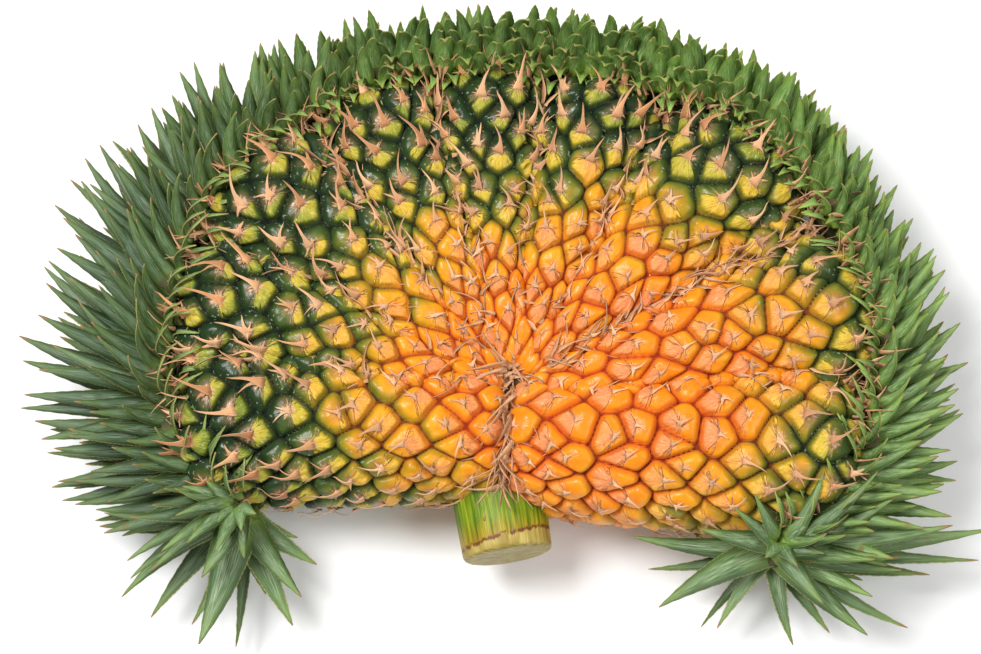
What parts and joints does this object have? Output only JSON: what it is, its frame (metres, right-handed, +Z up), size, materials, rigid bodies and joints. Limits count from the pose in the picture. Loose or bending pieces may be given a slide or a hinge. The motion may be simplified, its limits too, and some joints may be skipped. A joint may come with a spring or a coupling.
{
  "type": "fan-shaped pineapple",
  "caption": "Whole fresh pineapple grown as a broad flat fan of fused lobes, with a leaf crown round its rim and a cut stem, lying on its back.",
  "frame": {"origin": "on the flat spot of the fruit's back that it rests on, under the middle of the fan", "axes": "+X to the right across the fan as seen from its shown side, +Y from the stem to the top of the fan, +Z up out of the shown side"},
  "size_m": [0.5261, 0.3784, 0.1039],
  "materials": {
    "rind": "waxy bumpy pineapple rind, orange at the heart and dark green to the rim, with dry papery bracts",
    "leaves": "stiff blue-green pineapple leaves with a pale bloom and spiny tan edges",
    "stem": "fresh green fibrous stem with a pale cut end"
  },
  "bodies": {
    "root": {"fruit": "rind", "crown": "leaves", "stem": "stem"}
  },
  "joints": []
}
